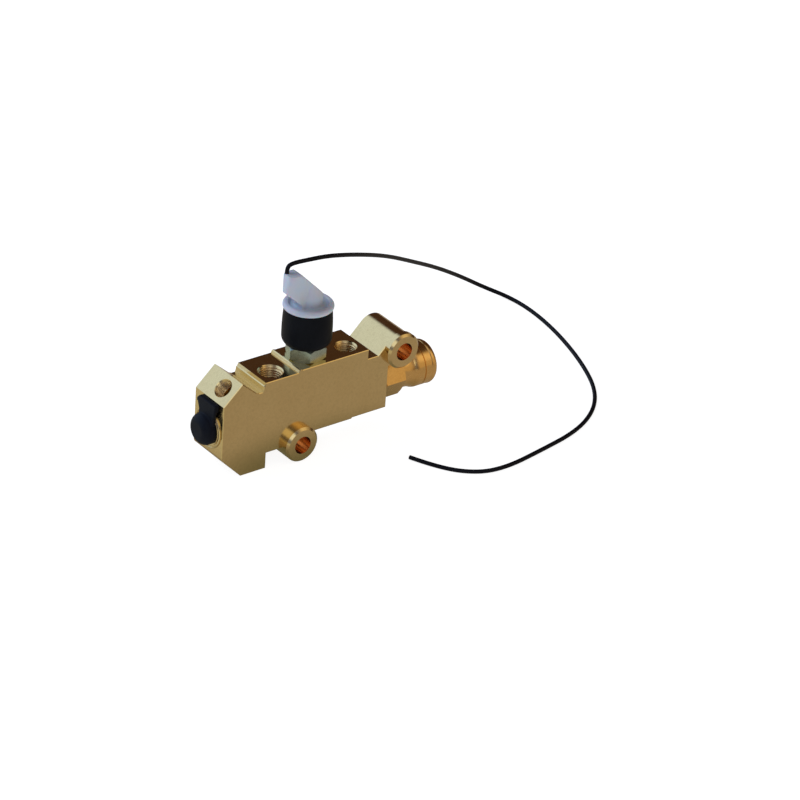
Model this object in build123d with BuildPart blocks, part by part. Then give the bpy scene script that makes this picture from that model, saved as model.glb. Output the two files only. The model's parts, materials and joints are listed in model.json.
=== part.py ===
"""Brake combination valve: metering, pressure differential and proportioning sections in one brass body.

Millimetres. +X runs along the body towards the proportioning plug, the mounting bosses face -Y, +Z is up.
The origin is the middle of the valve's footprint, at the level of its foot. Stations along the body (x) are
counted from its left end face, heights (z) from the lower edge of that face, and SIDE planes carry them.
"""
import math
import os

from build123d import *

os.makedirs("parts", exist_ok=True)

# ---------------------------------------------------------------- driving dimensions
BODY_W = 25.4          # width of the brass bar along Y
BODY_L = 104.5         # left end face to right end face
FOOT_DROP = 12.6       # foot below the lower edge of the left face
CAP_OUT = 7.4          # rubber cap beyond the left face
NOSE_END = 139.0       # station of the proportioning plug's outer face
BOSS_OUT = 4.5         # mounting boss beyond the front face
BOSS_R = 9.9
BOSS_CHAMFER = 1.2
BOLT_R = 4.95          # clearance bore for a 3/8 in bolt
LOWER_BOSS = (48.2, BOSS_R - FOOT_DROP)
UPPER_BOSS = (110.8, 34.8)
UPPER_LUG_R = 9.0
BORE_HEIGHT = 13.9     # axis of the long bore above the lower edge of the left face
EDGE = 0.35            # edge break on the bar's outline

SWITCH_X = 59.5
SWITCH_SEAT = 39.5     # height of the right-hand top deck
LEFT_DECK = 38.4
HEX_H = 7.4            # switch hex
BARREL_H = 20.8        # black barrel of the switch
FLANGE_H = 3.0
FLANGE_R = 13.4        # connector flange, proud of the back face
HOOD_H = 19.0

PORT_OFFSET = -3.4     # ports sit nearer the front face than the long bore
R_3_8 = 4.76           # major radii of the port threads
R_7_16 = 5.56
R_1_2 = 6.35

PORT_LIP = 0.5         # depth of the port's mouth chamfer
THREAD_DEPTH = 0.7     # thread's major radius less its tap drill's
SEAT_R = 3.2           # inverted-flare seat, pressed into a pocket below the port's bottom
SEAT_HOLE_R = 1.6
SEAT_HEIGHT = 2.8
SEAT_POCKET = 2.0
PASSAGE_R = 2.2

STEM_TRAVEL = 1.2
SHUTTLE_TRAVEL = 2.5
PLUNGER_TRAVEL = 1.2
PISTON_TRAVEL = 2.0

LEAD_D = 2.3

# ---------------------------------------------------------------- frame
X0 = (CAP_OUT - NOSE_END) / 2
Y_FRONT = (BOSS_OUT - BODY_W / 2 - FLANGE_R) / 2
Z0 = FOOT_DROP
BORE_Y = Y_FRONT + BODY_W / 2
BORE_Z = Z0 + BORE_HEIGHT
BORE_AXIS = Axis((X0, BORE_Y, BORE_Z), (1, 0, 0))
BORE_SIDE = Plane(origin=(X0, BORE_Y, BORE_Z), x_dir=(1, 0, 0), z_dir=(0, -1, 0))
SWITCH_Z = Z0 + SWITCH_SEAT
SWITCH_AXIS = Axis((X0 + SWITCH_X, BORE_Y, SWITCH_Z), (0, 0, 1))
SWITCH_SIDE = Plane(origin=(X0 + SWITCH_X, BORE_Y, SWITCH_Z), x_dir=(1, 0, 0), z_dir=(0, -1, 0))


def side_plane(y):
    """Plane of the bar's outline at depth y: local x is the station, local y the height."""
    return Plane(origin=(X0, y, Z0), x_dir=(1, 0, 0), z_dir=(0, -1, 0))


def end_plane(x):
    """Plane across the long bore at a station: local x is +Y, local y is +Z."""
    return Plane(origin=(X0 + x, BORE_Y, BORE_Z), x_dir=(0, 1, 0), z_dir=(1, 0, 0))


def switch_plane(height):
    """Horizontal plane at a height above the switch's seat, centred on the switch."""
    return Plane.XY.offset(SWITCH_Z + height).shift_origin((X0 + SWITCH_X, BORE_Y, SWITCH_Z + height))


def outline(plane, points):
    """A closed face through the points on a plane."""
    with BuildSketch(plane) as sketch:
        with BuildLine():
            Polyline(*points, close=True)
        make_face()
    return sketch.sketch


def save(builder, name):
    """Label a finished piece and write it."""
    builder.part.label = name
    export_step(builder.part, f"parts/{name}.step")


def coil(start, direction, length, turns, mean_r, wire_r):
    """A helical spring between two flat seats, standing clear of both by its wire's radius."""
    height = length - 2 * wire_r - 0.1
    base = start + direction * (wire_r + 0.05)
    with BuildPart() as spring:
        with BuildLine():
            path = Helix(height / turns, height, mean_r, center=base, direction=direction)
        with BuildSketch(Plane(origin=path @ 0, z_dir=path % 0)):
            Circle(wire_r)
        sweep(path=path, is_frenet=True)
    return spring


def port_cutter(mouth, inward, thread_r, depth, reach):
    """Drill shape of a tube port: chamfered mouth, thread, tap-drill tail, seat pocket and passage."""
    thread_end = depth - SEAT_HEIGHT - 0.2
    plane = Plane(origin=mouth, x_dir=inward, z_dir=Vector(0, 1, 0).cross(inward))
    points = [
        (-1, 0),
        (-1, thread_r + PORT_LIP + 1),
        (PORT_LIP, thread_r),
        (thread_end, thread_r),
        (thread_end, thread_r - THREAD_DEPTH),
        (depth, thread_r - THREAD_DEPTH),
        (depth, SEAT_R),
        (depth + SEAT_POCKET, SEAT_R),
        (depth + SEAT_POCKET, PASSAGE_R),
        (reach, PASSAGE_R),
        (reach, 0),
    ]
    with BuildPart() as cutter:
        revolve(outline(plane, points), axis=Axis(mouth, inward))
    return cutter.part


def tube_seat(mouth, inward, depth):
    """Inverted-flare seat pressed into the pocket at the bottom of a port."""
    plane = Plane(origin=mouth, x_dir=inward, z_dir=Vector(0, 1, 0).cross(inward))
    bottom = depth + SEAT_POCKET
    points = [
        (bottom, SEAT_HOLE_R),
        (bottom, SEAT_R),
        (depth - SEAT_HEIGHT + 1.6, SEAT_R),
        (depth - SEAT_HEIGHT, SEAT_HOLE_R + 0.4),
        (depth - SEAT_HEIGHT, SEAT_HOLE_R),
    ]
    with BuildPart() as seat:
        revolve(outline(plane, points), axis=Axis(mouth, inward))
    return seat


# ---------------------------------------------------------------- ports
SLANT_LOW = (0.0, 31.4)
SLANT_HIGH = (11.2, 41.9)
PORT_Y = BORE_Y + PORT_OFFSET


def at(x, y, z):
    """A point given by station and height."""
    return Vector(X0 + x, y, Z0 + z)


slant = Vector(SLANT_HIGH[0] - SLANT_LOW[0], 0, SLANT_HIGH[1] - SLANT_LOW[1]).normalized()
slant_in = Vector(slant.Z, 0, -slant.X)
PORTS = {
    "front_inlet": (at(35.0, PORT_Y, LEFT_DECK), Vector(0, 0, -1), R_1_2, 14.0, 22.0),
    "rear_inlet": (at(82.6, PORT_Y, SWITCH_SEAT), Vector(0, 0, -1), R_7_16, 14.0, 23.0),
    "upper_front_outlet": (at(5.8, PORT_Y, 36.8), slant_in, R_3_8, 11.0, 24.0),
    "lower_front_outlet": (at(6.3, PORT_Y, -6.3), Vector(1, 0, 1).normalized(), R_3_8, 11.0, 20.0),
}
NOSE_PORT = (Vector(X0 + NOSE_END, BORE_Y, BORE_Z), Vector(-1, 0, 0), R_7_16, 12.0, 20.0)

# ---------------------------------------------------------------- long bore stations
RETAINER_END = 6.0
METER_END = 27.0
WEB_END = 29.0
FRONT_CHAMBER_END = 43.0
SHUTTLE_BORE_END = 76.0
REAR_CHAMBER_END = 91.0
RETAINER_R = 11.2
METER_R = 7.5
WEB_R = 4.0
CHAMBER_R = 6.5
SHUTTLE_R = 5.0
PLUG_BORE_R = 8.5
FIT = 0.05             # running fit, radial

bore_cutter_points = [
    (-1, 0),
    (-1, RETAINER_R),
    (RETAINER_END, RETAINER_R),
    (RETAINER_END, METER_R),
    (METER_END, METER_R),
    (METER_END, WEB_R),
    (WEB_END, WEB_R),
    (WEB_END, CHAMBER_R),
    (FRONT_CHAMBER_END, CHAMBER_R),
    (FRONT_CHAMBER_END, SHUTTLE_R),
    (SHUTTLE_BORE_END, SHUTTLE_R),
    (SHUTTLE_BORE_END, CHAMBER_R),
    (REAR_CHAMBER_END, CHAMBER_R),
    (REAR_CHAMBER_END, PLUG_BORE_R),
    (BODY_L + 1, PLUG_BORE_R),
    (BODY_L + 1, 0),
]

SWITCH_BORE_R = 5.0
SWITCH_BORE_DEPTH = 12.5
PLUNGER_BORE_R = 2.2
switch_bore_points = [
    (0, 1),
    (SWITCH_BORE_R + 1.6, 1),
    (SWITCH_BORE_R, -0.6),
    (SWITCH_BORE_R, -SWITCH_BORE_DEPTH),
    (PLUNGER_BORE_R, -SWITCH_BORE_DEPTH),
    (PLUNGER_BORE_R, BORE_HEIGHT - SWITCH_SEAT),
    (0, BORE_HEIGHT - SWITCH_SEAT),
]

# ---------------------------------------------------------------- valve body
LOWER_LUG_R = BOSS_R
LUG_TANGENT = UPPER_LUG_R * math.sqrt(0.5)
NOTCH_FLOOR = 34.0
bar_outline = [
    (0, 0),
    SLANT_LOW,
    SLANT_HIGH,
    (20.2, 34.2),
    (21.8, 33.5),
    (24.0, 33.5),
    (24.5, 34.9),
    (24.7, 36.6),
    (25.3, 36.9),
    (25.9, LEFT_DECK),
    (46.4, LEFT_DECK),
    (46.9, LEFT_DECK + 1.3),
    (47.6, LEFT_DECK + 1.6),
    (48.4, LEFT_DECK + 1.4),
    (48.8, SWITCH_SEAT),
    (91.0, SWITCH_SEAT),
    (91.0, NOTCH_FLOOR),
    (UPPER_BOSS[0] - LUG_TANGENT - (UPPER_BOSS[1] + LUG_TANGENT - NOTCH_FLOOR), NOTCH_FLOOR),
    (UPPER_BOSS[0] - LUG_TANGENT, UPPER_BOSS[1] + LUG_TANGENT),
    UPPER_BOSS,
    (UPPER_BOSS[0], UPPER_BOSS[1] - UPPER_LUG_R),
    (BODY_L, UPPER_BOSS[1] - UPPER_LUG_R),
    (BODY_L, 1.2),
    (83.0, 1.2),
    (82.4, 0.6),
    (LOWER_BOSS[0] + 8.0, 0.6),
    LOWER_BOSS,
    (LOWER_BOSS[0] - 8.0, -3.6),
    (28.2, -3.6),
    (28.2, -FOOT_DROP),
    (FOOT_DROP, -FOOT_DROP),
]
cutters = [port_cutter(*port) for port in PORTS.values()]

with BuildPart() as valve_body:
    with BuildSketch(side_plane(Y_FRONT)) as bar:
        with BuildLine():
            Polyline(*bar_outline, close=True)
        make_face()
        inner_corner = bar.vertices().sort_by_distance(at(28.2, Y_FRONT, -3.6))[0]
        fillet(inner_corner, radius=3.0)
        with Locations(UPPER_BOSS):
            Circle(UPPER_LUG_R)
        with Locations(LOWER_BOSS):
            Circle(LOWER_LUG_R)
    extrude(amount=-BODY_W)
    rims = valve_body.edges().filter_by(lambda edge: abs(edge.bounding_box().size.Y) < 0.01)
    chamfer(rims, length=EDGE)
    with BuildSketch(side_plane(Y_FRONT)):
        with Locations(UPPER_BOSS, LOWER_BOSS):
            Circle(BOSS_R)
    extrude(amount=BOSS_OUT)
    faces_front = valve_body.faces().filter_by(Axis.Y).sort_by(Axis.Y)[:2]
    chamfer(faces_front.edges(), length=BOSS_CHAMFER)
    with BuildSketch(side_plane(Y_FRONT - BOSS_OUT)):
        with Locations(UPPER_BOSS, LOWER_BOSS):
            Circle(BOLT_R)
    extrude(amount=-(BODY_W + BOSS_OUT), mode=Mode.SUBTRACT)
    revolve(outline(BORE_SIDE, bore_cutter_points), axis=BORE_AXIS, mode=Mode.SUBTRACT)
    revolve(outline(SWITCH_SIDE, switch_bore_points), axis=SWITCH_AXIS, mode=Mode.SUBTRACT)
    for cutter in cutters:
        add(cutter, mode=Mode.SUBTRACT)
save(valve_body, "valve_body")

# ---------------------------------------------------------------- metering section, left end
RING_OUT = 0.9         # bright ring of the retainer beyond the left face
RING_GROOVE = (9.6, 10.2)    # inner and outer radius of the groove round the retainer's outer face
GROOVE_LIP = 0.2       # chamfer of the groove's two lips
COLLAR_OUT = 2.4       # collar that the rubber cap grips
COLLAR_R = 7.4
O_RING_R = 0.75        # section radius of the retainer's and the plug's O-rings
O_RING_GROOVE = (1.8, 3.6)   # stations of the retainer's O-ring groove
STEM_R = 2.5
STEM_BUTTON_R = 3.1
STEM_OUT = COLLAR_OUT + STEM_TRAVEL + 1.6

with BuildPart() as metering_retainer:
    retainer_points = [
        (-COLLAR_OUT, STEM_R + FIT),
        (-COLLAR_OUT, COLLAR_R),
        (-RING_OUT, COLLAR_R),
        (-RING_OUT, RING_GROOVE[0] - GROOVE_LIP),
        (-RING_OUT + GROOVE_LIP, RING_GROOVE[0]),
        (-0.1, RING_GROOVE[0]),
        (-0.1, RING_GROOVE[1]),
        (-RING_OUT + GROOVE_LIP, RING_GROOVE[1]),
        (-RING_OUT, RING_GROOVE[1] + GROOVE_LIP),
        (-RING_OUT, RETAINER_R - 0.5),
        (-RING_OUT + 0.4, RETAINER_R - FIT),
        (O_RING_GROOVE[0], RETAINER_R - FIT),
        (O_RING_GROOVE[0], RETAINER_R - 2 * (O_RING_R + FIT)),
        (O_RING_GROOVE[1], RETAINER_R - 2 * (O_RING_R + FIT)),
        (O_RING_GROOVE[1], RETAINER_R - FIT),
        (RETAINER_END, RETAINER_R - FIT),
        (RETAINER_END, STEM_R + FIT),
    ]
    revolve(outline(BORE_SIDE, retainer_points), axis=BORE_AXIS)
save(metering_retainer, "metering_retainer")

with BuildPart() as metering_o_ring:
    with BuildSketch(BORE_SIDE):
        with Locations((sum(O_RING_GROOVE) / 2, RETAINER_R - FIT - O_RING_R)):
            Circle(O_RING_R)
    revolve(axis=BORE_AXIS)
save(metering_o_ring, "metering_o_ring")

POPPET_START = 20.0
POPPET_END = 23.6
SEAL_END = 25.2
SPINDLE_R = 1.8        # thin end of the stem, which carries the poppet and its seal
POPPET_R = 6.2
SEAL_FACE_R = 5.2

with BuildPart() as metering_stem:
    stem_points = [
        (-STEM_OUT, 0),
        (-STEM_OUT, STEM_BUTTON_R - 0.5),
        (-STEM_OUT + 0.5, STEM_BUTTON_R),
        (-STEM_OUT + 1.5, STEM_BUTTON_R),
        (-STEM_OUT + 1.5, STEM_R - FIT),
        (POPPET_START, STEM_R - FIT),
        (POPPET_START, SPINDLE_R),
        (POPPET_END + 2.4, SPINDLE_R),
        (POPPET_END + 2.4, 0),
    ]
    revolve(outline(BORE_SIDE, stem_points), axis=BORE_AXIS)
save(metering_stem, "metering_stem")

with BuildPart() as metering_poppet:
    poppet_points = [
        (POPPET_START, SPINDLE_R),
        (POPPET_START, POPPET_R),
        (POPPET_END - 1.0, POPPET_R),
        (POPPET_END, SEAL_FACE_R),
        (POPPET_END, SPINDLE_R),
    ]
    revolve(outline(BORE_SIDE, poppet_points), axis=BORE_AXIS)
save(metering_poppet, "metering_poppet")

with BuildPart() as metering_seal:
    seal_points = [
        (POPPET_END, SPINDLE_R),
        (POPPET_END, SEAL_FACE_R),
        (SEAL_END - 0.4, SEAL_FACE_R),
        (SEAL_END, SEAL_FACE_R - 0.4),
        (SEAL_END, SPINDLE_R),
    ]
    revolve(outline(BORE_SIDE, seal_points), axis=BORE_AXIS)
save(metering_seal, "metering_seal")

SEAT_WASHER = 1.2
SEAT_WASHER_R = 6.4
with BuildPart() as metering_spring_seat:
    washer_points = [
        (POPPET_START - SEAT_WASHER, STEM_R),
        (POPPET_START - SEAT_WASHER, SEAT_WASHER_R),
        (POPPET_START, SEAT_WASHER_R),
        (POPPET_START, STEM_R),
    ]
    revolve(outline(BORE_SIDE, washer_points), axis=BORE_AXIS)
save(metering_spring_seat, "metering_spring_seat")

meter_spring_start = Vector(X0 + RETAINER_END, BORE_Y, BORE_Z)
meter_spring_length = POPPET_START - SEAT_WASHER - RETAINER_END
metering_spring = coil(meter_spring_start, Vector(1, 0, 0), meter_spring_length, 6, 4.6, 0.6)
save(metering_spring, "metering_spring")

CAP_BASE_R = 8.7
CAP_SKIRT = 1.8        # straight part of the cap before its dome
CAP_WALL = 0.9
CAP_TOP_R = 4.7        # flat top of the dome
STRAP_TOP = 17.0       # the cap's strap, above the long bore's axis
STRAP_FOOT = 13.0
STRAP_FRONT = -8.9
STRAP_BACK = 5.5
STRAP_THICK = 2.0
EAR_Y = 7.3            # small ear at the strap's back edge

with BuildPart() as dust_cap:
    with BuildSketch(BORE_SIDE):
        with BuildLine():
            dome_start = (-RING_OUT - CAP_SKIRT, CAP_BASE_R)
            dome_end = (-CAP_OUT, CAP_TOP_R)
            ThreePointArc(dome_start, (-5.9, 7.4), dome_end)
            Polyline(
                dome_end,
                (-CAP_OUT, 0),
                (-CAP_OUT + CAP_WALL, 0),
                (-CAP_OUT + CAP_WALL, CAP_TOP_R - CAP_WALL),
                (-COLLAR_OUT, CAP_TOP_R - 0.1),
                (-COLLAR_OUT, COLLAR_R),
                (-RING_OUT, COLLAR_R),
                (-RING_OUT, CAP_BASE_R),
                dome_start,
            )
        make_face()
    revolve(axis=BORE_AXIS)
    strap_points = [
        (-7.4, 4.0),
        (-7.6, 9.0),
        (-8.6, STRAP_FOOT),
        (STRAP_FRONT, STRAP_TOP),
        (STRAP_BACK, STRAP_TOP),
        (STRAP_BACK + 1.1, STRAP_TOP - 1.1),
        (STRAP_BACK + 0.9, STRAP_FOOT),
        (5.0, 9.6),
        (5.6, 4.0),
    ]
    extrude(outline(end_plane(-RING_OUT), strap_points), amount=-STRAP_THICK)
    with BuildSketch(end_plane(-RING_OUT)):
        Circle(COLLAR_R)
    extrude(amount=-COLLAR_OUT, mode=Mode.SUBTRACT)
    foot_points = [
        (-8.6, STRAP_FOOT),
        (STRAP_FRONT, STRAP_TOP),
        (STRAP_BACK, STRAP_TOP),
        (STRAP_BACK + 0.9, STRAP_TOP - 0.9),
        (STRAP_BACK + 0.9, STRAP_FOOT),
    ]
    extrude(outline(end_plane(0), foot_points), amount=-STRAP_THICK)
    with BuildSketch(end_plane(0)):
        with Locations((EAR_Y, STRAP_FOOT + 0.6)):
            RectangleRounded(2.2, 2.4, 0.7)
    extrude(amount=-STRAP_THICK)
save(dust_cap, "dust_cap")

# ---------------------------------------------------------------- pressure differential section, middle
SHUTTLE_START = 32.0
SHUTTLE_BODY = (44.4, 74.6)
SHUTTLE_COLLAR = (78.6, 80.6)
SHUTTLE_NOSE = 83.6
SHUTTLE_STEM_R = 2.6
RING_SECTION = 0.85
RING_STATIONS = (47.5, 71.5)
GROOVE_HALF = SHUTTLE_TRAVEL + 1.8     # clears the plunger over the shuttle's whole travel
GROOVE_R = 3.3
GROOVE_RAMP = 1.6      # length of the ramps that lift the plunger
RING_SLOT = 1.1        # half width of an O-ring's slot
COLLAR_LAND_R = 6.0
land_r = SHUTTLE_R - FIT
groove_r = land_r - 2 * RING_SECTION

with BuildPart() as shuttle_piston:
    shuttle_points = [
        (SHUTTLE_START, 0),
        (SHUTTLE_START, SHUTTLE_STEM_R),
        (SHUTTLE_BODY[0], SHUTTLE_STEM_R),
        (SHUTTLE_BODY[0], land_r - 0.6),
        (SHUTTLE_BODY[0] + 0.6, land_r),
    ]
    for station in RING_STATIONS:
        shuttle_points += [
            (station - RING_SLOT, land_r),
            (station - RING_SLOT, groove_r),
            (station + RING_SLOT, groove_r),
            (station + RING_SLOT, land_r),
        ]
        if station == RING_STATIONS[0]:
            shuttle_points += [
                (SWITCH_X - GROOVE_HALF - GROOVE_RAMP, land_r),
                (SWITCH_X - GROOVE_HALF, GROOVE_R),
                (SWITCH_X + GROOVE_HALF, GROOVE_R),
                (SWITCH_X + GROOVE_HALF + GROOVE_RAMP, land_r),
            ]
    shuttle_points += [
        (SHUTTLE_BODY[1] - 0.6, land_r),
        (SHUTTLE_BODY[1], land_r - 0.6),
        (SHUTTLE_BODY[1], SHUTTLE_STEM_R),
        (SHUTTLE_COLLAR[0], SHUTTLE_STEM_R),
        (SHUTTLE_COLLAR[0], COLLAR_LAND_R),
        (SHUTTLE_COLLAR[1], COLLAR_LAND_R),
        (SHUTTLE_COLLAR[1], SHUTTLE_STEM_R),
        (SHUTTLE_NOSE, SHUTTLE_STEM_R),
        (SHUTTLE_NOSE, 0),
    ]
    revolve(outline(BORE_SIDE, shuttle_points), axis=BORE_AXIS)
save(shuttle_piston, "shuttle_piston")

with BuildPart() as shuttle_o_rings:
    with BuildSketch(BORE_SIDE):
        with Locations([(station, groove_r + RING_SECTION) for station in RING_STATIONS]):
            Circle(RING_SECTION)
    revolve(axis=BORE_AXIS)
save(shuttle_o_rings, "shuttle_o_rings")

# ---------------------------------------------------------------- warning switch
HEX_CORNER_R = 11.0    # 3/4 in across flats
HEX_TURN = 7           # degrees that the tightened hex ends up turned by
SHANK_R = SWITCH_BORE_R - FIT
SHANK_END = -11.5
SPIGOT_R = 8.4
SPIGOT_TOP = HEX_H + 3.0
BARREL_TOP = HEX_H + BARREL_H
SHELL_TOP = BARREL_TOP + FLANGE_H
PLUNGER_R = 1.5
PLUNGER_TIP = BORE_HEIGHT - SWITCH_SEAT + GROOVE_R + 0.3
PLUNGER_HEAD = 3.0
TERMINAL_TIP = PLUNGER_HEAD + PLUNGER_TRAVEL + 0.1
TERMINAL_WEB = SPIGOT_TOP + 1.5
HEX_FOOT_CHAMFER = 1.2
HEX_TOP_CHAMFER = 1.6
SWITCH_CAVITY_R = 2.7
SWITCH_RING_GROOVE = (-3.8, -2.0)
SWITCH_RING_R = 0.7
PLUNGER_HEAD_R = 2.6
HEAD_THICK = 1.2
SPRING_SPIGOT = 0.4    # boss on the plunger's head that locates the spring

with BuildPart() as switch_base:
    with BuildSketch(switch_plane(0)):
        RegularPolygon(HEX_CORNER_R, 6, rotation=HEX_TURN)
    extrude(amount=HEX_H)
    chamfered_disc = [
        (0, 0),
        (HEX_CORNER_R - HEX_FOOT_CHAMFER, 0),
        (HEX_CORNER_R + 0.2, HEX_FOOT_CHAMFER),
        (HEX_CORNER_R + 0.2, HEX_H - HEX_TOP_CHAMFER),
        (HEX_CORNER_R - HEX_TOP_CHAMFER, HEX_H),
        (0, HEX_H),
    ]
    revolve(outline(SWITCH_SIDE, chamfered_disc), axis=SWITCH_AXIS, mode=Mode.INTERSECT)
    shank_points = [
        (0, 0.5),
        (SHANK_R, 0.5),
        (SHANK_R, SWITCH_RING_GROOVE[1]),
        (SHANK_R - 1.5, SWITCH_RING_GROOVE[1]),
        (SHANK_R - 1.5, SWITCH_RING_GROOVE[0]),
        (SHANK_R, SWITCH_RING_GROOVE[0]),
        (SHANK_R, SHANK_END + 0.8),
        (SHANK_R - 0.8, SHANK_END),
        (0, SHANK_END),
    ]
    revolve(outline(SWITCH_SIDE, shank_points), axis=SWITCH_AXIS)
    with BuildSketch(switch_plane(HEX_H)):
        Circle(SPIGOT_R)
    extrude(amount=SPIGOT_TOP - HEX_H)
    cavity_points = [
        (0, SHANK_END - 1),
        (PLUNGER_R + FIT, SHANK_END - 1),
        (PLUNGER_R + FIT, 1.0),
        (SWITCH_CAVITY_R, 1.0),
        (SWITCH_CAVITY_R, SPIGOT_TOP + 1),
        (0, SPIGOT_TOP + 1),
    ]
    revolve(outline(SWITCH_SIDE, cavity_points), axis=SWITCH_AXIS, mode=Mode.SUBTRACT)
save(switch_base, "switch_base")

with BuildPart() as switch_o_ring:
    with BuildSketch(SWITCH_SIDE):
        with Locations((SHANK_R - SWITCH_RING_R - 0.02, sum(SWITCH_RING_GROOVE) / 2)):
            Circle(SWITCH_RING_R)
    revolve(axis=SWITCH_AXIS)
save(switch_o_ring, "switch_o_ring")

with BuildPart() as switch_plunger:
    plunger_points = [
        (0, PLUNGER_TIP),
        (0.9, PLUNGER_TIP),
        (PLUNGER_R, PLUNGER_TIP + 0.9),
        (PLUNGER_R, PLUNGER_HEAD - SPRING_SPIGOT - HEAD_THICK),
        (PLUNGER_HEAD_R, PLUNGER_HEAD - SPRING_SPIGOT - HEAD_THICK),
        (PLUNGER_HEAD_R, PLUNGER_HEAD - SPRING_SPIGOT),
        (1.3, PLUNGER_HEAD - SPRING_SPIGOT),
        (1.0, PLUNGER_HEAD),
        (0, PLUNGER_HEAD),
    ]
    revolve(outline(SWITCH_SIDE, plunger_points), axis=SWITCH_AXIS)
save(switch_plunger, "switch_plunger")

plunger_spring_foot = PLUNGER_HEAD - SPRING_SPIGOT
plunger_spring_start = Vector(X0 + SWITCH_X, BORE_Y, SWITCH_Z + plunger_spring_foot)
plunger_spring = coil(plunger_spring_start, Vector(0, 0, 1), SPIGOT_TOP - plunger_spring_foot, 5, 2.0, 0.3)
save(plunger_spring, "plunger_spring")

BLADE_R = 1.6
PIN_R = 1.2            # lower end of the terminal, inside the base
WEB_R_OUT = BLADE_R + 1.4
WEB_TOP = TERMINAL_WEB + 1.0
with BuildPart() as switch_terminal:
    terminal_points = [
        (0, TERMINAL_TIP),
        (0.7, TERMINAL_TIP),
        (PIN_R, TERMINAL_TIP + 0.5),
        (PIN_R, TERMINAL_WEB),
        (WEB_R_OUT, TERMINAL_WEB),
        (WEB_R_OUT, WEB_TOP),
        (BLADE_R, WEB_TOP),
        (BLADE_R, BARREL_TOP - 0.8),
        (BLADE_R - 0.8, BARREL_TOP),
        (0, BARREL_TOP),
    ]
    revolve(outline(SWITCH_SIDE, terminal_points), axis=SWITCH_AXIS)
save(switch_terminal, "switch_terminal")

SKIRT_R = 9.6
SKIRT_END = BARREL_TOP - 8.0
BARREL_FOOT = (10.6, HEX_H)
BARREL_SHOULDER = (13.2, HEX_H + 5.0)
BARREL_RIM = (12.6, BARREL_TOP)

with BuildPart() as switch_insulator:
    with BuildSketch(SWITCH_SIDE):
        with BuildLine():
            ThreePointArc(BARREL_FOOT, (12.5, HEX_H + 1.8), BARREL_SHOULDER)
            ThreePointArc(BARREL_SHOULDER, (13.2, HEX_H + 11.5), BARREL_RIM)
            Polyline(
                BARREL_RIM,
                (SKIRT_R, BARREL_TOP),
                (SKIRT_R, SKIRT_END - 0.4),
                (BLADE_R, SKIRT_END - 0.4),
                (BLADE_R, WEB_TOP),
                (WEB_R_OUT, WEB_TOP),
                (WEB_R_OUT, TERMINAL_WEB),
                (PIN_R, TERMINAL_WEB),
                (PIN_R, SPIGOT_TOP),
                (SPIGOT_R, SPIGOT_TOP),
                (SPIGOT_R, HEX_H),
                BARREL_FOOT,
            )
        make_face()
    revolve(axis=SWITCH_AXIS)
save(switch_insulator, "switch_insulator")

# ---------------------------------------------------------------- connector
RECESS_R = 10.0
RECESS_DEPTH = 1.7
ROOT_R = 7.0           # round root of the hood
ROOT_X = 0.5
HOOD_R = 4.2           # half of the hood's thickness
HOOD_TIP = -15.9       # hood's outer end, from the switch axis
SOCKET_R = 2.6
HOOD_TOP = SHELL_TOP + HOOD_H
RIDGE = 11.2           # the sloping back is the plane x + z = RIDGE, from the flange's top
ROOT_TOP = SHELL_TOP + 14.0
SOCKET_TOP = BARREL_TOP + 4.0
back_x = ROOT_X + ROOT_R + 0.2

with BuildPart() as hood:
    with BuildSketch(switch_plane(BARREL_TOP)):
        with Locations(((HOOD_TIP + HOOD_R) / 2, 0)):
            SlotCenterToCenter(-HOOD_TIP - HOOD_R, 2 * HOOD_R)
    extrude(amount=HOOD_TOP - BARREL_TOP)
    root_points = [
        (ROOT_X, BARREL_TOP),
        (ROOT_X + ROOT_R, BARREL_TOP),
        (ROOT_X + ROOT_R, SHELL_TOP + 4.0),
        (ROOT_X + HOOD_R, ROOT_TOP),
        (ROOT_X, ROOT_TOP),
    ]
    root_axis = Axis((X0 + SWITCH_X + ROOT_X, BORE_Y, SWITCH_Z), (0, 0, 1))
    revolve(outline(SWITCH_SIDE, root_points), axis=root_axis)
    hood_points = [
        (-6.5, BARREL_TOP),
        (-6.8, SHELL_TOP + 0.8),
        (HOOD_TIP, SHELL_TOP + 9.2),
        (HOOD_TIP + 0.8, HOOD_TOP),
        (RIDGE - HOOD_H, HOOD_TOP),
        (back_x, SHELL_TOP + RIDGE - back_x),
        (back_x, BARREL_TOP),
    ]
    extrude(outline(SWITCH_SIDE, hood_points), amount=ROOT_R + 1, both=True, mode=Mode.INTERSECT)

with BuildPart() as connector_shell:
    shell_points = [
        (SOCKET_R, SKIRT_END),
        (SKIRT_R - FIT, SKIRT_END),
        (SKIRT_R - FIT, BARREL_TOP),
        (FLANGE_R - 0.3, BARREL_TOP),
        (FLANGE_R, BARREL_TOP + 0.5),
        (FLANGE_R, SHELL_TOP - 1.0),
        (FLANGE_R - 1.0, SHELL_TOP),
        (RECESS_R + 0.4, SHELL_TOP),
        (RECESS_R, SHELL_TOP - RECESS_DEPTH),
        (SOCKET_R, SHELL_TOP - RECESS_DEPTH),
    ]
    revolve(outline(SWITCH_SIDE, shell_points), axis=SWITCH_AXIS)
    add(hood.part)
    with BuildSketch(switch_plane(SKIRT_END - 1)):
        Circle(SOCKET_R)
    extrude(amount=SOCKET_TOP - SKIRT_END + 1, mode=Mode.SUBTRACT)
save(connector_shell, "connector_shell")

with BuildPart() as lead_terminal:
    socket_points = [
        (BLADE_R + FIT, SKIRT_END + 1.0),
        (SOCKET_R - FIT, SKIRT_END + 1.0),
        (SOCKET_R - FIT, SOCKET_TOP),
        (0, SOCKET_TOP),
        (0, BARREL_TOP + 1.0),
        (BLADE_R + FIT, BARREL_TOP + 1.0),
    ]
    revolve(outline(SWITCH_SIDE, socket_points), axis=SWITCH_AXIS)
save(lead_terminal, "lead_terminal")

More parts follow.
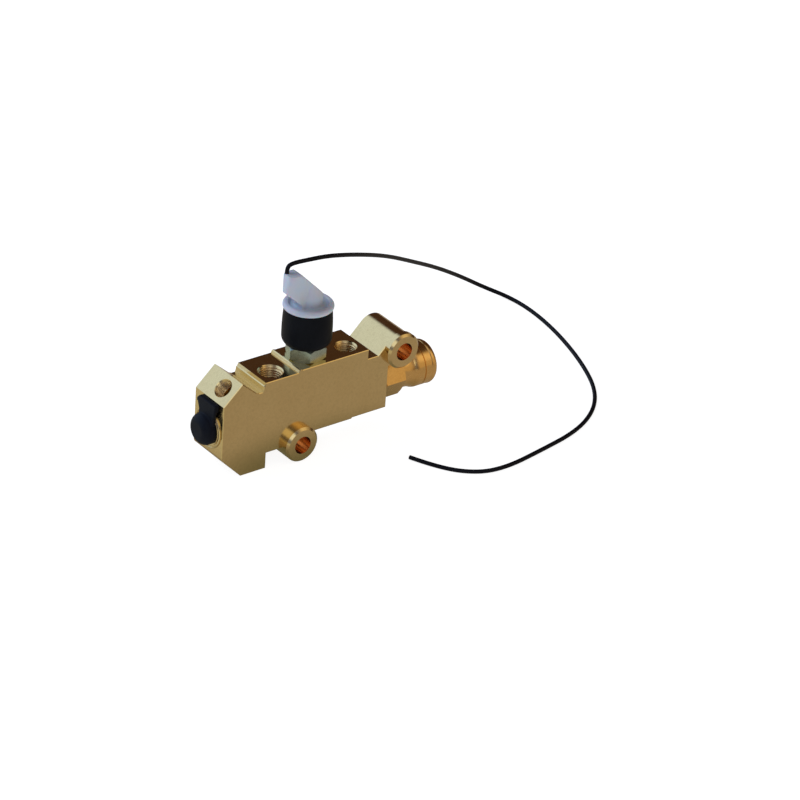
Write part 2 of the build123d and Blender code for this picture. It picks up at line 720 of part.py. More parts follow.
# ---------------------------------------------------------------- proportioning section, right end
SEAL_START = REAR_CHAMBER_END
SEAL_STOP = 93.5
RETAINER_STOP = 94.7
PLUG_HEX_END = 117.6
PLUG_CAVITY_END = 120.0
PLUG_HEX_CORNER_R = 12.83   # 7/8 in across flats
NOSE_R = 11.9
PLUG_CAVITY_R = 6.5
PISTON_HEAD = (86.6, 88.8)
PISTON_STEM_R = 3.3
PISTON_HEAD_R = 4.2
SHOULDER = (94.8, 96.6)
SHOULDER_R = 5.8
TAIL_R = 3.0
TAIL_END = PLUG_CAVITY_END - PISTON_TRAVEL - 1.5
PLUG_RELIEF = 1.0      # length of the relief on each side of the plug's shank and hex
WAIST_START = (PLUG_HEX_END, 10.6)
WAIST_END = (124.5, 11.0)
NOSE_START = (127.4, NOSE_R)
NOSE_GROOVE = (130.3, 131.1)
GROOVE_DEPTH = 0.45
NOSE_ROUND = (135.0, NOSE_R)
NOSE_FACE = (NOSE_END, NOSE_R - 1.9)
shank_r = PLUG_BORE_R - FIT
core_r = shank_r - 2 * (O_RING_R + FIT)

with BuildPart() as proportioning_seal:
    seal_ring_points = [
        (SEAL_START, PISTON_STEM_R + 0.1),
        (SEAL_START, 5.0),
        (SEAL_START + 0.8, 5.6),
        (SEAL_START, 6.2),
        (SEAL_START, PLUG_BORE_R - FIT),
        (SEAL_STOP, PLUG_BORE_R - FIT),
        (SEAL_STOP, PISTON_STEM_R + 0.1),
    ]
    revolve(outline(BORE_SIDE, seal_ring_points), axis=BORE_AXIS)
save(proportioning_seal, "proportioning_seal")

with BuildPart() as seal_retainer:
    retainer_ring_points = [
        (SEAL_STOP, PISTON_STEM_R + 0.3),
        (SEAL_STOP, PLUG_BORE_R - FIT),
        (RETAINER_STOP, PLUG_BORE_R - FIT),
        (RETAINER_STOP, PISTON_STEM_R + 0.3),
    ]
    revolve(outline(BORE_SIDE, retainer_ring_points), axis=BORE_AXIS)
save(seal_retainer, "seal_retainer")

with BuildPart() as proportioning_piston:
    piston_points = [
        (PISTON_HEAD[0], 0),
        (PISTON_HEAD[0], PISTON_HEAD_R - 0.4),
        (PISTON_HEAD[0] + 0.4, PISTON_HEAD_R),
        (PISTON_HEAD[1] - 0.6, PISTON_HEAD_R),
        (PISTON_HEAD[1], PISTON_STEM_R),
        (SHOULDER[0], PISTON_STEM_R),
        (SHOULDER[0], SHOULDER_R),
        (SHOULDER[1], SHOULDER_R),
        (SHOULDER[1], TAIL_R),
        (TAIL_END - 0.6, TAIL_R),
        (TAIL_END, TAIL_R - 0.6),
        (TAIL_END, 0),
    ]
    revolve(outline(BORE_SIDE, piston_points), axis=BORE_AXIS)
save(proportioning_piston, "proportioning_piston")

piston_spring_start = Vector(X0 + SHOULDER[1], BORE_Y, BORE_Z)
proportioning_spring = coil(
    piston_spring_start, Vector(1, 0, 0), PLUG_CAVITY_END - SHOULDER[1], 8, 4.6, 0.7
)
save(proportioning_spring, "proportioning_spring")

with BuildPart() as proportioning_plug:
    with BuildSketch(end_plane(BODY_L)):
        RegularPolygon(PLUG_HEX_CORNER_R, 6)
    extrude(amount=PLUG_HEX_END - BODY_L)
    hex_trim = [
        (BODY_L, 0),
        (BODY_L, PLUG_HEX_CORNER_R - 0.8),
        (BODY_L + 0.6, PLUG_HEX_CORNER_R + 0.2),
        (PLUG_HEX_END - 0.9, PLUG_HEX_CORNER_R + 0.2),
        (PLUG_HEX_END, PLUG_HEX_CORNER_R - 1.4),
        (PLUG_HEX_END, 0),
    ]
    revolve(outline(BORE_SIDE, hex_trim), axis=BORE_AXIS, mode=Mode.INTERSECT)
    with BuildSketch(BORE_SIDE):
        with BuildLine():
            Polyline(
                (RETAINER_STOP, 0),
                (RETAINER_STOP, shank_r - 0.5),
                (RETAINER_STOP + 0.5, shank_r),
                (BODY_L - 2 * PLUG_RELIEF, shank_r),
                (BODY_L - 2 * PLUG_RELIEF, core_r),
                (PLUG_HEX_END - PLUG_RELIEF, core_r),
                (PLUG_HEX_END - PLUG_RELIEF, WAIST_START[1]),
                WAIST_START,
            )
            ThreePointArc(WAIST_START, (121.4, 10.4), WAIST_END)
            ThreePointArc(WAIST_END, (126.0, 11.65), NOSE_START)
            Polyline(
                NOSE_START,
                (NOSE_GROOVE[0], NOSE_R),
                (NOSE_GROOVE[0] + 0.2, NOSE_R - GROOVE_DEPTH),
                (NOSE_GROOVE[1] - 0.2, NOSE_R - GROOVE_DEPTH),
                (NOSE_GROOVE[1], NOSE_R),
                NOSE_ROUND,
            )
            ThreePointArc(NOSE_ROUND, (138.2, 11.3), NOSE_FACE)
            Polyline(NOSE_FACE, (NOSE_END, 0), (RETAINER_STOP, 0))
        make_face()
    revolve(axis=BORE_AXIS)
    cavity_points = [
        (RETAINER_STOP - 1, 0),
        (RETAINER_STOP - 1, PLUG_CAVITY_R),
        (PLUG_CAVITY_END, PLUG_CAVITY_R),
        (PLUG_CAVITY_END, 0),
    ]
    revolve(outline(BORE_SIDE, cavity_points), axis=BORE_AXIS, mode=Mode.SUBTRACT)
    add(port_cutter(*NOSE_PORT), mode=Mode.SUBTRACT)
save(proportioning_plug, "proportioning_plug")

with BuildPart() as plug_o_ring:
    with BuildSketch(BORE_SIDE):
        with Locations((BODY_L - PLUG_RELIEF, shank_r - O_RING_R)):
            Circle(O_RING_R)
    revolve(axis=BORE_AXIS)
save(plug_o_ring, "plug_o_ring")

# ---------------------------------------------------------------- tube seats
for name in ("front_inlet", "rear_inlet"):
    save(tube_seat(*PORTS[name][:2], PORTS[name][3]), f"{name}_seat")
save(tube_seat(*NOSE_PORT[:2], NOSE_PORT[3]), "rear_outlet_seat")
with BuildPart() as front_outlet_seats:
    for name in ("upper_front_outlet", "lower_front_outlet"):
        add(tube_seat(*PORTS[name][:2], PORTS[name][3]).part)
save(front_outlet_seats, "front_outlet_seats")

# ---------------------------------------------------------------- warning lead
EXIT_X = -13.4         # lead's exit on the hood's top, from the switch axis
LEAD_FLOOR = LEAD_D / 2 - FOOT_DROP
lead_route = [
    (SWITCH_X + EXIT_X, 14.7, SWITCH_SEAT + HOOD_TOP),
    (SWITCH_X + EXIT_X, 14.7, 93.5),
    (50, 14.7, 94.5),
    (58, 14.7, 94),
    (73, 16, 92),
    (98, 25, 82),
    (132, 43, 64),
    (165, 62, 43),
    (195, 78, 24),
    (222, 89, 6),
    (241, 92, -7),
    (252, 80, LEAD_FLOOR),
    (253, 60, LEAD_FLOOR),
    (249, 33, LEAD_FLOOR),
    (240, 2, LEAD_FLOOR),
    (228, -25, LEAD_FLOOR),
    (212, -43, LEAD_FLOOR),
    (190, -55, LEAD_FLOOR),
    (160, -61, LEAD_FLOOR),
    (136, -65, LEAD_FLOOR),
    (119, -62, LEAD_FLOOR),
    (105, -48, LEAD_FLOOR),
    (98, -31, LEAD_FLOOR),
]


def arc_radii(points):
    """As large an arc at each corner as its two runs allow: 0.45 of the shorter run."""
    radii = []
    for before, corner, after in zip(points, points[1:], points[2:]):
        half_turn = math.radians((corner - before).get_angle(after - corner)) / 2
        radii.append(0.45 * min((corner - before).length, (after - corner).length) / math.tan(half_turn))
    return radii


lead_points = [at(x, Y_FRONT + y, z) for x, y, z in lead_route]
lead_radii = arc_radii(lead_points)
print("lead radii", [round(radius, 1) for radius in lead_radii])

with BuildPart() as warning_lead:
    with BuildLine() as lead_path:
        FilletPolyline(*lead_points, radius=lead_radii)
    with BuildSketch(Plane(origin=lead_points[0], z_dir=lead_points[1] - lead_points[0])):
        Circle(LEAD_D / 2)
    sweep()
lead_length = sum(edge.length for edge in lead_path.edges())
tube_volume = math.pi * (LEAD_D / 2) ** 2 * lead_length
print("lead length", round(lead_length, 1), "volume ratio", round(warning_lead.part.volume / tube_volume, 4))
save(warning_lead, "warning_lead")
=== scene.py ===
"""Looks of the brake combination valve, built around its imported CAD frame.

Metres, +Z up, valve foot at z = 0.
"""
import json
import math

import bmesh
import bpy
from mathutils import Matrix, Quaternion, Vector


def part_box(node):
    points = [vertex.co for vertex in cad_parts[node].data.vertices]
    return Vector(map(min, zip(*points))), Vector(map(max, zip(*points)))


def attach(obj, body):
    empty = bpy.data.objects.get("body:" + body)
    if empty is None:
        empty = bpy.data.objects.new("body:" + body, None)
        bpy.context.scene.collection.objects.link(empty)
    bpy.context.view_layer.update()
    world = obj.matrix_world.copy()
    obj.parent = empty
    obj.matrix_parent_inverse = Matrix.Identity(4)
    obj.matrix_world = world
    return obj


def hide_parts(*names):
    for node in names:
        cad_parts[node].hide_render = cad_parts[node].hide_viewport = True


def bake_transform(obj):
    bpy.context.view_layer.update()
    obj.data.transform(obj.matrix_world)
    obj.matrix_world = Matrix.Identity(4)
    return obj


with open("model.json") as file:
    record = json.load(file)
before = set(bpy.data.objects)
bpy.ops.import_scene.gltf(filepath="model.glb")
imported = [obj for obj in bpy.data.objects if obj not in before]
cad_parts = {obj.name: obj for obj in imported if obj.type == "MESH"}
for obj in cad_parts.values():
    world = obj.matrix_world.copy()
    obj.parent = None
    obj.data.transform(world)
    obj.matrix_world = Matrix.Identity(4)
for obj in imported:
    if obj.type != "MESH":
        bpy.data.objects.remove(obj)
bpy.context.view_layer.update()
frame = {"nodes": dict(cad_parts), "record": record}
nodes = frame["nodes"]
mounts = {mount["name"]: mount for mount in frame["record"]["mounts"]}
slots = {part["node"]: part["material_slot"] for part in frame["record"]["subparts"]}
scene = bpy.context.scene
MM = 0.001

# ---------------------------------------------------------------- camera
AIM = Vector((0.0244, -0.0401, 0.0369))
CAMERA_AZIMUTH = math.radians(-38.86)
CAMERA_ELEVATION = math.radians(29.76)
CAMERA_ROLL = math.radians(4.16)
CAMERA_DISTANCE = 2.057
LENS = 180                 # mm
SENSOR_WIDTH = 36          # mm


def make_camera():
    """Long lens at the height and side that show the front, the left end and the top together."""
    data = bpy.data.cameras.new("camera")
    data.sensor_width = SENSOR_WIDTH
    data.lens = LENS
    camera = bpy.data.objects.new("camera", data)
    scene.collection.objects.link(camera)
    back = Vector((
        math.sin(CAMERA_AZIMUTH) * math.cos(CAMERA_ELEVATION),
        -math.cos(CAMERA_AZIMUTH) * math.cos(CAMERA_ELEVATION),
        math.sin(CAMERA_ELEVATION),
    ))
    camera.location = AIM + back * CAMERA_DISTANCE
    camera.rotation_mode = "QUATERNION"
    camera.rotation_quaternion = (-back).to_track_quat("-Z", "Y") @ Quaternion((0, 0, 1), CAMERA_ROLL)
    scene.camera = camera


make_camera()

# ---------------------------------------------------------------- warning lead
LEAD_D = 2.3 * MM
LEAD_ROUNDNESS = 5         # resolution of the wire's round section
LEAD_STEPS = 10            # steps between two points of the route
lead_floor = LEAD_D / 2
lead_route = [
    (-0.0197, 0.0039, 0.1023),
    (-0.0197, 0.0039, 0.1061),
    (-0.0158, 0.0039, 0.1071),
    (-0.0078, 0.0039, 0.1066),
    (0.0072, 0.0052, 0.1046),
    (0.0322, 0.0142, 0.0946),
    (0.0662, 0.0322, 0.0766),
    (0.0992, 0.0512, 0.0556),
    (0.1292, 0.0672, 0.0366),
    (0.1562, 0.0782, 0.0186),
    (0.1752, 0.0812, 0.0056),
    (0.1862, 0.0692, lead_floor),
    (0.1872, 0.0492, lead_floor),
    (0.1832, 0.0222, lead_floor),
    (0.1742, -0.0088, lead_floor),
    (0.1622, -0.0358, lead_floor),
    (0.1462, -0.0538, lead_floor),
    (0.1242, -0.0658, lead_floor),
    (0.0942, -0.0718, lead_floor),
    (0.0702, -0.0758, lead_floor),
    (0.0532, -0.0728, lead_floor),
    (0.0392, -0.0588, lead_floor),
    (0.0322, -0.0418, lead_floor),
]


def make_lead():
    """The switch's single wire, one smooth curve.

    It leaves the hood's top, comes down behind the valve and turns round to its bare end.
    """
    curve = bpy.data.curves.new("warning_lead_wire", "CURVE")
    curve.dimensions = "3D"
    curve.bevel_depth = 1      # scaled by the points' radius, which also sets the curve's bounds
    curve.bevel_resolution = LEAD_ROUNDNESS
    curve.resolution_u = LEAD_STEPS
    curve.use_fill_caps = True
    spline = curve.splines.new("NURBS")
    spline.points.add(len(lead_route) - 1)
    for point, place in zip(spline.points, lead_route):
        point.co = (*place, 1)
        point.radius = LEAD_D / 2
    spline.order_u = 3
    spline.use_endpoint_u = True
    lead = bpy.data.objects.new("warning_lead_wire", curve)
    scene.collection.objects.link(lead)
    lead.visible_glossy = False
    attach(lead, "valve")
    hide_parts("warning_lead")
    return lead


lead = make_lead()

# ---------------------------------------------------------------- port threads
INCH = 25.4 * MM
THREADS_PER_INCH = {
    "front_inlet": 20,
    "rear_inlet": 24,
    "upper_front_outlet": 24,
    "lower_front_outlet": 24,
    "rear_outlet": 24,
}
THREAD_HEIGHT = 0.61       # of the pitch
CREST_SLOPE = 1.4          # steepness of the thread's flanks
CREST_CUT = 0.2            # leaves a flat at the root
THREAD_CLEARANCE = 0.02 * MM    # keeps the thread's root off the port's wall
THREAD_STEPS = 10          # rows of vertices to a pitch
THREAD_SEGMENTS = 72
SLEEVE_WALL = 0.05 * MM    # the threads' sleeve reaches this far into the port's wall


def thread_radius(radius, pitch, length, depth, turn):
    """Radius of a helical thread at a depth and a part of a turn.

    The thread fades out over its first and last pitch.
    """
    phase = (depth / pitch - turn) % 1
    crest = min(1, max(0, CREST_SLOPE * (1 - abs(2 * phase - 1)) - CREST_CUT))
    share = min(1, depth / pitch, (length - depth) / pitch)
    return radius - THREAD_CLEARANCE - THREAD_HEIGHT * pitch * crest * share


def make_thread(name, threads_per_inch):
    """Thread of one port: a closed sleeve on the port's wall, with the thread on its inner side."""
    mount = mounts[name]
    radius = mount["dims"]["r_mm"] * MM
    length = mount["dims"]["length_mm"] * MM
    pitch = INCH / threads_per_inch
    outwards = Vector(mount["axis"])
    across = outwards.orthogonal().normalized()
    along = outwards.cross(across)
    rows = round(length / pitch * THREAD_STEPS)

    mesh = bmesh.new()
    inner, outer = [], []
    for row in range(rows + 1):
        depth = length * row / rows
        centre = Vector(mount["pos_m"]) - outwards * depth
        for ring, is_inner in ((inner, True), (outer, False)):
            loop = []
            for segment in range(THREAD_SEGMENTS):
                turn = segment / THREAD_SEGMENTS
                r = thread_radius(radius, pitch, length, depth, turn) if is_inner else radius + SLEEVE_WALL
                angle = 2 * math.pi * turn
                spoke = across * math.cos(angle) + along * math.sin(angle)
                loop.append(mesh.verts.new(centre + spoke * r))
            ring.append(loop)
    walls = list(zip(inner, inner[1:])) + list(zip(outer[1:], outer))
    ends = [(outer[0], inner[0]), (inner[-1], outer[-1])]
    for one, other in walls + ends:
        for i in range(THREAD_SEGMENTS):
            j = (i + 1) % THREAD_SEGMENTS
            mesh.faces.new((one[i], one[j], other[j], other[i])).smooth = True
    bmesh.ops.recalc_face_normals(mesh, faces=mesh.faces)
    data = bpy.data.meshes.new(f"{name}_thread")
    mesh.to_mesh(data)
    mesh.free()
    thread = bpy.data.objects.new(f"{name}_thread", data)
    scene.collection.objects.link(thread)
    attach(thread, "valve")
    return thread


threads = [make_thread(name, count) for name, count in THREADS_PER_INCH.items()]


# ---------------------------------------------------------------- moulded pieces
def soften(node, name, voxel, rounds):
    """Moulded copy of a CAD node, with its edges and inner corners rounded off."""
    piece = bpy.data.objects.new(name, nodes[node].data.copy())
    scene.collection.objects.link(piece)
    remesh = piece.modifiers.new("remesh", "REMESH")
    remesh.mode = "VOXEL"
    remesh.voxel_size = voxel
    remesh.use_smooth_shade = True
    smooth = piece.modifiers.new("smooth", "SMOOTH")
    smooth.factor = 0.5
    smooth.iterations = rounds
    finished = piece.evaluated_get(bpy.context.evaluated_depsgraph_get())
    piece.data = bpy.data.meshes.new_from_object(finished)
    piece.modifiers.clear()
    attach(piece, "valve")
    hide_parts(node)
    return piece


connector = soften("connector_shell", "connector_moulding", voxel=0.3 * MM, rounds=24)
cap = soften("dust_cap", "dust_cap_moulding", voxel=0.3 * MM, rounds=12)
barrel = soften("switch_insulator", "switch_barrel", voxel=0.35 * MM, rounds=6)

# ---------------------------------------------------------------- springs
# axis of the coil (0 is X, 2 is Z), body at its low end, body at its high end
SPRINGS = {
    "metering_spring": (0, "valve", "metering_stem"),
    "plunger_spring": (2, "switch_plunger", "valve"),
    "proportioning_spring": (0, "proportioning_piston", "valve"),
}


def make_spring(node, axis, low_body, high_body):
    """Copy of the CAD coil in its place, with its transform baked in."""
    spring = bpy.data.objects.new(f"{node}_coil", nodes[node].data.copy())
    scene.collection.objects.link(spring)
    low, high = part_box(node)
    start = (low + high) / 2
    end = start.copy()
    start[axis], end[axis] = low[axis], high[axis]
    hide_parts(node)
    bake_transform(spring)
    return spring


springs = {node: make_spring(node, *ends) for node, ends in SPRINGS.items()}

# ---------------------------------------------------------------- studio
FLOOR_SIZE = 8.0
FLOOR_COLOUR = (0.35, 0.35, 0.35)
FLOOR_GLOW = 0.88
# Colours the metal sees in the floor: a painted reflection, with a painted shadow under the valve and
# painted light at the left.
FLOOR_PAINTED_REFLECTION = (0.40, 0.355, 0.30)
FLOOR_PAINTED_SHADOW_BELOW = (0.16, 0.16, 0.11)
FLOOR_PAINTED_LIGHT_LEFT = (0.58, 0.58, 0.48)
PAINTED_SHADOW_POOL = (0.10, 0.042)    # half length and half width of the painted shadow pool under the valve, seen in the metal's reflections
PAINTED_SHADOW_FADE = (0.35, 1.1)        # shares of those at which the painted shadow pool starts to fade and is gone
PAINTED_LIGHT_FADE = (-0.065, -0.095)   # X at which the painted lighter left part starts and is full
BACKDROP = (0.97, 0.97, 0.97)  # what the camera sees behind everything


def fade(tree, links, value, start, end):
    """0 where value is at start, smoothly up to 1 at end."""
    node = tree.new("ShaderNodeMapRange")
    node.interpolation_type = "SMOOTHSTEP"
    node.inputs["From Min"].default_value = start
    node.inputs["From Max"].default_value = end
    links.new(value, node.inputs["Value"])
    return node.outputs["Result"]


def blend(tree, links, amount, one, other):
    """Colour one where amount is 0, and the other where it is 1. Each is a socket or a colour."""
    node = tree.new("ShaderNodeMix")
    node.data_type = "RGBA"
    for socket, colour in ((node.inputs[6], one), (node.inputs[7], other)):
        if isinstance(colour, tuple):
            socket.default_value = colour
        else:
            links.new(colour, socket)
    links.new(amount, node.inputs[0])
    return node.outputs[2]


def links_of(material_or_world):
    """The node tree of a material or world, with the nodes and links at hand."""
    tree = material_or_world.node_tree
    return tree.nodes, tree.links


def make_floor():
    """Pale floor.

    Its mirror image in the metal is a painted reflection: greyer than the floor itself, with a painted
    shadow pool under the valve and painted light at its left.
    """
    bpy.ops.mesh.primitive_plane_add(size=FLOOR_SIZE)
    floor = bpy.context.object
    floor.name = "floor"
    material = bpy.data.materials.new("floor")
    material.use_nodes = True
    tree, links = links_of(material)
    tree.clear()
    output = tree.new("ShaderNodeOutputMaterial")
    pale = tree.new("ShaderNodeBsdfDiffuse")
    pale.inputs["Color"].default_value = (*FLOOR_COLOUR, 1)
    glow = tree.new("ShaderNodeEmission")
    glow.inputs["Color"].default_value = (1, 1, 1, 1)
    glow.inputs["Strength"].default_value = FLOOR_GLOW
    seen = tree.new("ShaderNodeAddShader")
    links.new(pale.outputs[0], seen.inputs[0])
    links.new(glow.outputs[0], seen.inputs[1])
    reflected = tree.new("ShaderNodeEmission")
    place = tree.new("ShaderNodeNewGeometry").outputs["Position"]
    under = tree.new("ShaderNodeVectorMath")
    under.operation = "MULTIPLY"
    under.inputs[1].default_value = (1 / PAINTED_SHADOW_POOL[0], 1 / PAINTED_SHADOW_POOL[1], 0)
    links.new(place, under.inputs[0])
    distance = tree.new("ShaderNodeVectorMath")
    distance.operation = "LENGTH"
    links.new(under.outputs[0], distance.inputs[0])
    clear = fade(tree, links, distance.outputs["Value"], *PAINTED_SHADOW_FADE)
    split = tree.new("ShaderNodeSeparateXYZ")
    links.new(place, split.inputs[0])
    left = fade(tree, links, split.outputs["X"], *PAINTED_LIGHT_FADE)
    # Painted shadow under the valve and painted light at the left, seen by glossy rays only.
    shade = blend(tree, links, clear, (*FLOOR_PAINTED_SHADOW_BELOW, 1), (*FLOOR_PAINTED_REFLECTION, 1))
    shade = blend(tree, links, left, shade, (*FLOOR_PAINTED_LIGHT_LEFT, 1))
    links.new(shade, reflected.inputs["Color"])
    path = tree.new("ShaderNodeLightPath")
    mix = tree.new("ShaderNodeMixShader")
    links.new(path.outputs["Is Glossy Ray"], mix.inputs[0])
    links.new(seen.outputs[0], mix.inputs[1])
    links.new(reflected.outputs[0], mix.inputs[2])
    links.new(mix.outputs[0], output.inputs["Surface"])
    floor.data.materials.append(material)


# direction, colour, cosine where the glow ends, cosine where it is full
SKY_GLOWS = [
    ((-0.45, 0.72, 0.45), (0.72, 0.98, 1.40), 0.66, 0.84),
    ((-0.50, -0.67, 0.54), (0.80, 0.90, 0.95), 0.93, 0.985),
    ((-0.75, -0.55, 0.45), (0.14, 0.18, 0.27), 0.35, 0.95),
    ((0.60, -0.70, 0.38), (0.50, 0.42, 0.27), 0.72, 0.93),
    ((0.54, -0.56, 0.62), (0.30, 0.26, 0.18), 0.93, 0.99),
    ((0.0, -0.2, 1.0), (0.45, 0.45, 0.45), 0.85, 0.98),
]
SKY_BASE = (0.065, 0.035, 0.022)


def make_sky():
    """A dark room with a few soft glows for the metal to mirror.

    The camera itself sees a plain pale backdrop.
    """
    world = bpy.data.worlds.new("studio")
    scene.world = world
    world.use_nodes = True
    tree, links = links_of(world)
    tree.clear()
    output = tree.new("ShaderNodeOutputWorld")
    coordinates = tree.new("ShaderNodeTexCoord")
    total = None
    for direction, colour, edge, full in SKY_GLOWS:
        dot = tree.new("ShaderNodeVectorMath")
        dot.operation = "DOT_PRODUCT"
        dot.inputs[1].default_value = Vector(direction).normalized()
        links.new(coordinates.outputs["Generated"], dot.inputs[0])
        strength = fade(tree, links, dot.outputs["Value"], edge, full)
        glow = tree.new("ShaderNodeVectorMath")
        glow.operation = "SCALE"
        glow.inputs[0].default_value = colour
        links.new(strength, glow.inputs["Scale"])
        add = tree.new("ShaderNodeVectorMath")
        add.operation = "ADD"
        if total is None:
            add.inputs[0].default_value = SKY_BASE
        else:
            links.new(total, add.inputs[0])
        links.new(glow.outputs[0], add.inputs[1])
        total = add.outputs[0]
    mirrored = tree.new("ShaderNodeBackground")
    links.new(total, mirrored.inputs["Color"])
    backdrop = tree.new("ShaderNodeBackground")
    backdrop.inputs["Color"].default_value = (*BACKDROP, 1)
    path = tree.new("ShaderNodeLightPath")
    mix = tree.new("ShaderNodeMixShader")
    links.new(path.outputs["Is Camera Ray"], mix.inputs[0])
    links.new(mirrored.outputs[0], mix.inputs[1])
    links.new(backdrop.outputs[0], mix.inputs[2])
    links.new(mix.outputs[0], output.inputs["Surface"])


def make_lamp(name, place, size, power, colour):
    """Soft area lamp that points at the valve and isn't mirrored in it."""
    data = bpy.data.lights.new(name, "AREA")
    data.size = size
    data.energy = power
    data.color = colour
    lamp = bpy.data.objects.new(name, data)
    lamp.location = place
    lamp.rotation_mode = "QUATERNION"
    lamp.rotation_quaternion = (AIM - Vector(place)).to_track_quat("-Z", "Y")
    lamp.visible_glossy = False
    scene.collection.objects.link(lamp)


make_floor()
make_sky()
make_lamp("key", (-0.9, 1.1, 1.5), size=0.8, power=9, colour=(0.95, 0.98, 1.0))
make_lamp("fill", (-1.2, -1.2, 0.9), size=1.2, power=4, colour=(0.85, 0.9, 1.0))
scene.view_settings.view_transform = "Standard"


# ---------------------------------------------------------------- materials
class Finish:
    """A Principled material whose colour, roughness and bump come from noise in the row frame."""

    def __init__(self, name, colour, metallic, roughness):
        self.material = bpy.data.materials.new(name)
        self.material.use_nodes = True
        self.tree, self.links = links_of(self.material)
        self.shader = self.tree["Principled BSDF"]
        self.shader.inputs["Metallic"].default_value = metallic
        self.shader.inputs["Base Color"].default_value = (*colour, 1)
        self.shader.inputs["Roughness"].default_value = roughness
        self.colour = colour
        self.places = self.tree.new("ShaderNodeTexCoord").outputs["Object"]
        self.height = None
        self.shade = None

    def noise(self, size, stretch=(1, 1, 1), *, detail):
        """Noise whose grains are size metres, longer along an axis where stretch is over 1."""
        mapping = self.tree.new("ShaderNodeMapping")
        mapping.inputs["Scale"].default_value = [1 / (size * s) for s in stretch]
        self.links.new(self.places, mapping.inputs["Vector"])
        noise = self.tree.new("ShaderNodeTexNoise")
        noise.inputs["Scale"].default_value = 1.0
        noise.inputs["Detail"].default_value = detail
        self.links.new(mapping.outputs[0], noise.inputs["Vector"])
        return noise.outputs["Fac"]

    def from_axis(self, axis, centre):
        """Distance from the line along axis 0, 1 or 2 through centre."""
        shifted = self.tree.new("ShaderNodeVectorMath")
        shifted.operation = "SUBTRACT"
        shifted.inputs[1].default_value = centre
        self.links.new(self.places, shifted.inputs[0])
        keep = self.tree.new("ShaderNodeVectorMath")
        keep.operation = "MULTIPLY"
        keep.inputs[1].default_value = [0 if i == axis else 1 for i in range(3)]
        self.links.new(shifted.outputs[0], keep.inputs[0])
        length = self.tree.new("ShaderNodeVectorMath")
        length.operation = "LENGTH"
        self.links.new(keep.outputs[0], length.inputs[0])
        return length.outputs["Value"]

    def math(self, operation, one, other):
        """One of Blender's math operations on two values, each a socket or a number."""
        node = self.tree.new("ShaderNodeMath")
        node.operation = operation
        for socket, value in zip(node.inputs, (one, other)):
            if isinstance(value, (int, float)):
                socket.default_value = value
            else:
                self.links.new(value, socket)
        return node.outputs[0]

    def map(self, value, low, high, start=0.3, end=0.7):
        """Value from start to end, turned into low to high."""
        mapped = self.tree.new("ShaderNodeMapRange")
        mapped.inputs["From Min"].default_value = start
        mapped.inputs["From Max"].default_value = end
        mapped.inputs["To Min"].default_value = low
        mapped.inputs["To Max"].default_value = high
        self.links.new(value, mapped.inputs["Value"])
        return mapped.outputs["Result"]

    def vary_colour(self, value, other):
        """The colour so far turns into another where value is 1."""
        self.shade = blend(self.tree, self.links, value, self.shade or (*self.colour, 1), (*other, 1))
        self.links.new(self.shade, self.shader.inputs["Base Color"])

    def vary_roughness(self, value):
        """The roughness follows a value."""
        self.links.new(value, self.shader.inputs["Roughness"])

    def bump(self, value, distance):
        """Adds relief of a height in metres."""
        bump = self.tree.new("ShaderNodeBump")
        bump.inputs["Distance"].default_value = distance
        bump.inputs["Strength"].default_value = 1.0
        self.links.new(value, bump.inputs["Height"])
        if self.height is not None:
            self.links.new(self.height, bump.inputs["Normal"])
        self.height = bump.outputs[0]
        self.links.new(self.height, self.shader.inputs["Normal"])


def brass(name, colour, tint, roughness, stretch):
    """Bright brass with drawn or milled streaks, faint blotches and small handling marks."""
    finish = Finish(name, colour, 1.0, roughness)
    finish.vary_colour(finish.map(finish.noise(14 * MM, detail=4), low=0, high=0.5), tint)
    marks = finish.map(finish.noise(1.6 * MM, detail=6), low=0, high=0.18, start=0.45, end=0.75)
    finish.vary_colour(marks, [c * 0.6 for c in tint])
    streaks = finish.noise(0.25 * MM, stretch, detail=5)
    smudges = finish.noise(5 * MM, detail=6)
    rougher = finish.map(smudges, low=0, high=roughness * 0.45, start=0.5, end=0.75)
    finish.vary_roughness(finish.math("ADD", finish.map(streaks, roughness * 0.8, roughness * 1.2), rougher))
    finish.bump(streaks, 0.006 * MM)
    finish.bump(finish.noise(9 * MM, detail=1), 0.012 * MM)
    return finish


def steel(name, colour, roughness, tint=None, stretch=(1, 1, 1)):
    """Grey metal with fine streaks."""
    finish = Finish(name, colour, 1.0, roughness)
    blotches = finish.map(finish.noise(3 * MM, detail=4), low=0, high=0.7)
    finish.vary_colour(blotches, tint or [c * 0.8 for c in colour])
    streaks = finish.noise(0.2 * MM, stretch, detail=4)
    finish.vary_roughness(finish.map(streaks, roughness * 0.8, roughness * 1.25))
    finish.bump(streaks, 0.006 * MM)
    return finish


def moulded(name, colour, tint, roughness, shine, grain, relief):
    """Moulded plastic or rubber with a fine grain and slow changes of tone."""
    finish = Finish(name, colour, 0.0, roughness)
    finish.shader.inputs["Specular IOR Level"].default_value = shine
    finish.vary_colour(finish.map(finish.noise(6 * MM, detail=3), low=0, high=0.8), tint)
    fine = finish.noise(grain, detail=4)
    finish.vary_roughness(finish.map(fine, roughness * 0.85, roughness * 1.15))
    finish.bump(fine, relief)
    return finish


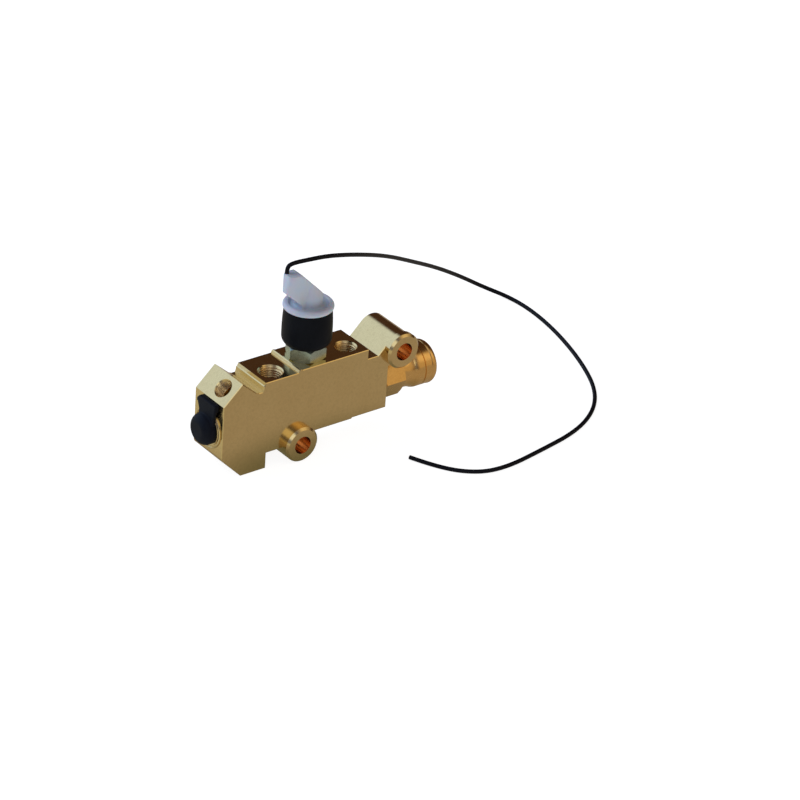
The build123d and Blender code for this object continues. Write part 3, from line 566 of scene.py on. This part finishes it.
body_brass = brass("body_brass", (0.74, 0.55, 0.26), (0.68, 0.49, 0.22), 0.16, (40, 1, 1))
# The walls of the two mount bores get a redder brass colour: a painted reflection of the brass around them.
for name in ("lower_mount_bore", "upper_mount_bore"):
    bore_wall = (mounts[name]["dims"]["r_mm"] + 0.05) * MM
    painted_bore_reflection = body_brass.math("LESS_THAN", body_brass.from_axis(1, mounts[name]["pos_m"]), bore_wall)
    body_brass.vary_colour(painted_bore_reflection, (0.84, 0.52, 0.28))
plug_brass = brass("plug_brass", (0.84, 0.52, 0.19), (0.76, 0.44, 0.14), 0.20, (1, 6, 6))
bore_brass = brass("bore_brass", (0.82, 0.60, 0.29), (0.72, 0.46, 0.20), 0.24, (1, 1, 1))
fitting_brass = brass("fitting_brass", (0.80, 0.64, 0.34), (0.72, 0.52, 0.24), 0.24, (1, 1, 1))
ground_steel = steel("ground_steel", (0.62, 0.62, 0.61), 0.25, stretch=(1, 12, 12))
spring_steel = steel("spring_steel", (0.40, 0.40, 0.41), 0.32)
zinc_plate = steel("zinc_plate", (0.47, 0.55, 0.50), 0.30, (0.36, 0.42, 0.34), (6, 6, 1))
black_rubber = moulded(
    "black_rubber", (0.004, 0.005, 0.009), (0.006, 0.008, 0.013),
    roughness=0.50, shine=0.08, grain=0.35 * MM, relief=0.02 * MM,
)
black_plastic = moulded(
    "black_plastic", (0.003, 0.004, 0.006), (0.005, 0.006, 0.009),
    roughness=0.42, shine=0.08, grain=0.6 * MM, relief=0.03 * MM,
)
# Painted shade: the white plastic's colour is a darker bluish grey, standing in for the bluish shade the
# connector sits in.
white_plastic = moulded(
    "white_plastic", (0.43, 0.50, 0.59), (0.49, 0.49, 0.54),
    roughness=0.42, shine=0.35, grain=0.5 * MM, relief=0.015 * MM,
)
white_plastic.shader.inputs["Subsurface Weight"].default_value = 0.5
white_plastic.shader.inputs["Subsurface Scale"].default_value = 3 * MM
lead_vinyl = moulded(
    "lead_vinyl", (0.003, 0.003, 0.005), (0.005, 0.005, 0.008),
    roughness=0.40, shine=0.10, grain=0.4 * MM, relief=0.01 * MM,
)

NODE_FINISH = {
    "valve_body": body_brass,
    "proportioning_plug": plug_brass,
    "metering_retainer": fitting_brass,
    "switch_base": zinc_plate,
}
SLOT_FINISH = {
    "brass_fitting": fitting_brass,
    "steel": ground_steel,
    "spring_steel": spring_steel,
    "black_rubber": black_rubber,
    "black_plastic": black_plastic,
    "white_plastic": white_plastic,
    "lead_insulation": lead_vinyl,
}


def paint(obj, finish):
    """Puts one material on every slot of an object."""
    if not obj.material_slots:
        obj.data.materials.append(finish.material)
    for material_slot in obj.material_slots:
        material_slot.material = finish.material


for name, node in nodes.items():
    paint(node, NODE_FINISH.get(name) or SLOT_FINISH[slots[name]])
paint(lead, lead_vinyl)
paint(connector, white_plastic)
paint(cap, black_rubber)
paint(barrel, black_plastic)
for thread in threads:
    paint(thread, bore_brass)
for node, spring in springs.items():
    paint(spring, SLOT_FINISH[slots[node]])
